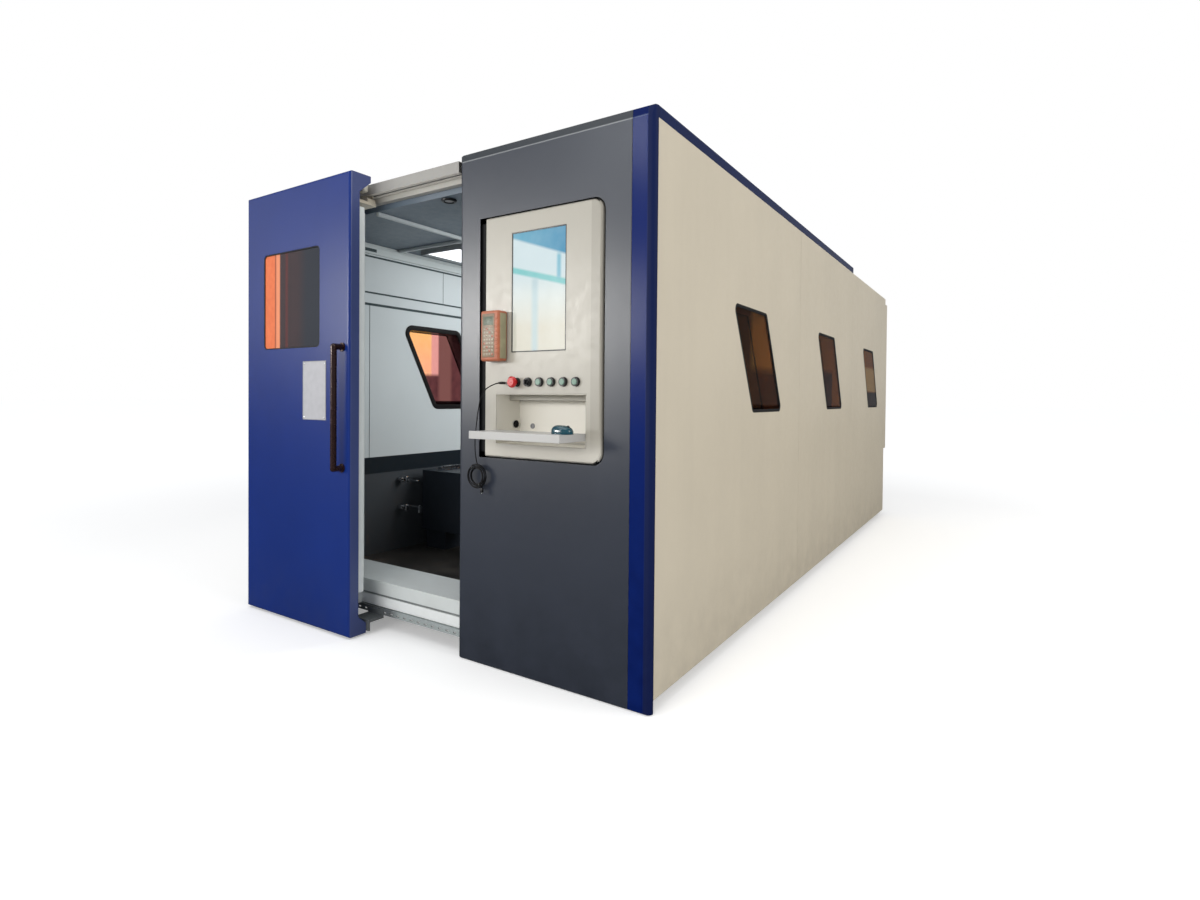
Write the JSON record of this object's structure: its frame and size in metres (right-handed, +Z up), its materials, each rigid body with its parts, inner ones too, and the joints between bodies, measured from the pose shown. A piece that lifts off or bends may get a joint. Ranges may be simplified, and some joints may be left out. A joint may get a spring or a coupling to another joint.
{
  "type": "enclosed fibre laser cutting machine",
  "caption": "Full-enclosure flatbed laser cutting machine with a sliding front door, control pod with fold-down tray, amber side windows, gantry and cutting table inside.",
  "frame": {"origin": "on the floor at the centre of the overall box", "axes": "+Y along the machine's length from the operator's front to the rear, +X to the operator's right when facing the front, +Z up"},
  "size_m": [2.504, 5.51, 2.3],
  "materials": {
    "cream_paint": "semi-gloss powder coat with fine orange peel",
    "console_cream": "semi-gloss powder coat",
    "white_paint": "satin powder coat",
    "blue_paint": "gloss enamel",
    "door_blue": "gloss enamel",
    "slate_paint": "gloss powder coat",
    "black_frame": "matt machine enamel",
    "frame_grey": "satin powder coat",
    "dark_floor": "worn anti-slip coating",
    "gantry_blue": "satin machine enamel",
    "amber_glass": "laser-safe tinted acrylic",
    "screen_glass": "glossy display glass",
    "black_plastic": "moulded",
    "green_plastic": "translucent button cap",
    "red_plastic": "moulded mushroom head",
    "teal_plastic": "moulded",
    "orange_plastic": "moulded",
    "cord_rubber": "cable sheath",
    "bronze_metal": "dark bronze coating",
    "white_card": "blank plate",
    "nylon_wheel": "turned nylon",
    "zinc_steel": "zinc plated",
    "ground_steel": "ground",
    "slat_steel": "laser-cut, heat marked",
    "head_black": "anodised",
    "lamp_diffuser": "lit diffuser"
  },
  "bodies": {
    "frame": {"base_beams": "frame_grey", "levelling_feet": "zinc_steel", "floor_plate": "dark_floor", "side_frames": "frame_grey", "right_panel_front": "cream_paint", "right_panel_middle": "cream_paint", "right_panel_rear": "cream_paint", "left_side_panels": "cream_paint", "inner_liners": "white_paint", "window_panes": "amber_glass", "roof_cassettes": "cream_paint", "roof_trims": "blue_paint", "corner_column": "blue_paint", "pod_shell": "slate_paint", "console_panel": "console_cream", "console_recess": "console_cream", "monitor": "screen_glass", "switch_collars": "black_plastic", "remote_pendant": "orange_plastic", "usb_plug": "black_plastic", "usb_cord": "cord_rubber", "usb_cord_coil": "cord_rubber", "usb_cord_end": "black_plastic", "front_fixed_panel": "cream_paint", "fascia_beam": "cream_paint", "top_track": "cream_paint", "sill": "white_paint", "bottom_guide": "zinc_steel", "ceiling_lamps": "lamp_diffuser", "laser_source": "frame_grey", "control_cabinet": "frame_grey", "rear_panel": "cream_paint", "rear_hood": "cream_paint", "bed_frame": "black_frame", "gantry_rails": "ground_steel", "table_frame": "black_frame", "table_slats": "slat_steel"},
    "front_door": {"door_shell": "door_blue", "door_inner_panel": "white_paint", "door_pane": "amber_glass", "door_handle": "bronze_metal", "door_plate": "white_card", "door_hangers": "cream_paint"},
    "door_roller_right": {"door_roller_right": "nylon_wheel"},
    "door_roller_left": {"door_roller_left": "nylon_wheel"},
    "pallet_gate": {"pallet_gate": "frame_grey"},
    "e_stop": {"e_stop_button": "red_plastic"},
    "key_switch": {"key_switch": "black_plastic"},
    "push_button_1": {"push_button_1": "green_plastic"},
    "push_button_2": {"push_button_2": "green_plastic"},
    "push_button_3": {"push_button_3": "green_plastic"},
    "push_button_4": {"push_button_4": "green_plastic"},
    "keyboard_tray": {"keyboard_tray": "white_paint", "mouse": "teal_plastic"},
    "gantry": {"gantry_beam": "gantry_blue"},
    "x_carriage": {"x_carriage": "ground_steel"},
    "cutting_head": {"z_slide": "ground_steel", "cutting_head": "head_black"}
  },
  "joints": [
    {"name": "front_door_slide", "type": "slide", "parent": "frame", "child": "front_door", "axis": [1, 0, 0], "range_m": [0, 0.612]},
    {"name": "door_roller_right_spin", "type": "hinge", "parent": "front_door", "child": "door_roller_right", "pos_m": [-0.443, -2.5055, 2.2513], "axis": [0, 1, 0], "range_deg": [0, 1810]},
    {"name": "door_roller_left_spin", "type": "hinge", "parent": "front_door", "child": "door_roller_left", "pos_m": [-1.106, -2.5055, 2.2513], "axis": [0, 1, 0], "range_deg": [0, 1810]},
    {"name": "pallet_gate_lift", "type": "slide", "parent": "frame", "child": "pallet_gate", "axis": [0, 0, 1], "range_m": [0, 0.33]},
    {"name": "e_stop_press", "type": "slide", "parent": "frame", "child": "e_stop", "axis": [0, 1, 0], "range_m": [0, 0.005]},
    {"name": "key_switch_turn", "type": "hinge", "parent": "frame", "child": "key_switch", "pos_m": [0.662, -2.559, 1.266], "axis": [0, -1, 0], "range_deg": [0, 90]},
    {"name": "push_button_1_press", "type": "slide", "parent": "frame", "child": "push_button_1", "axis": [0, 1, 0], "range_m": [0, 0.0035], "stiffness_N_per_m": 400},
    {"name": "push_button_2_press", "type": "slide", "parent": "frame", "child": "push_button_2", "axis": [0, 1, 0], "range_m": [0, 0.0035], "stiffness_N_per_m": 400},
    {"name": "push_button_3_press", "type": "slide", "parent": "frame", "child": "push_button_3", "axis": [0, 1, 0], "range_m": [0, 0.0035], "stiffness_N_per_m": 400},
    {"name": "push_button_4_press", "type": "slide", "parent": "frame", "child": "push_button_4", "axis": [0, 1, 0], "range_m": [0, 0.0035], "stiffness_N_per_m": 400},
    {"name": "keyboard_tray_fold", "type": "hinge", "parent": "frame", "child": "keyboard_tray", "pos_m": [0.719, -2.539, 1.033], "axis": [-1, 0, 0], "range_deg": [0, 90]},
    {"name": "gantry_travel", "type": "slide", "parent": "frame", "child": "gantry", "axis": [0, 1, 0], "range_m": [-2.45, 0.5]},
    {"name": "carriage_travel", "type": "slide", "parent": "gantry", "child": "x_carriage", "axis": [1, 0, 0], "range_m": [-0.75, 0.75]},
    {"name": "head_travel", "type": "slide", "parent": "x_carriage", "child": "cutting_head", "axis": [0, 0, 1], "range_m": [-0.035, 0.11]}
  ],
  "couplings": [
    {"joint": "door_roller_right_spin", "follows": "front_door_slide", "rad_per_m": 50},
    {"joint": "door_roller_left_spin", "follows": "front_door_slide", "rad_per_m": 50}
  ]
}
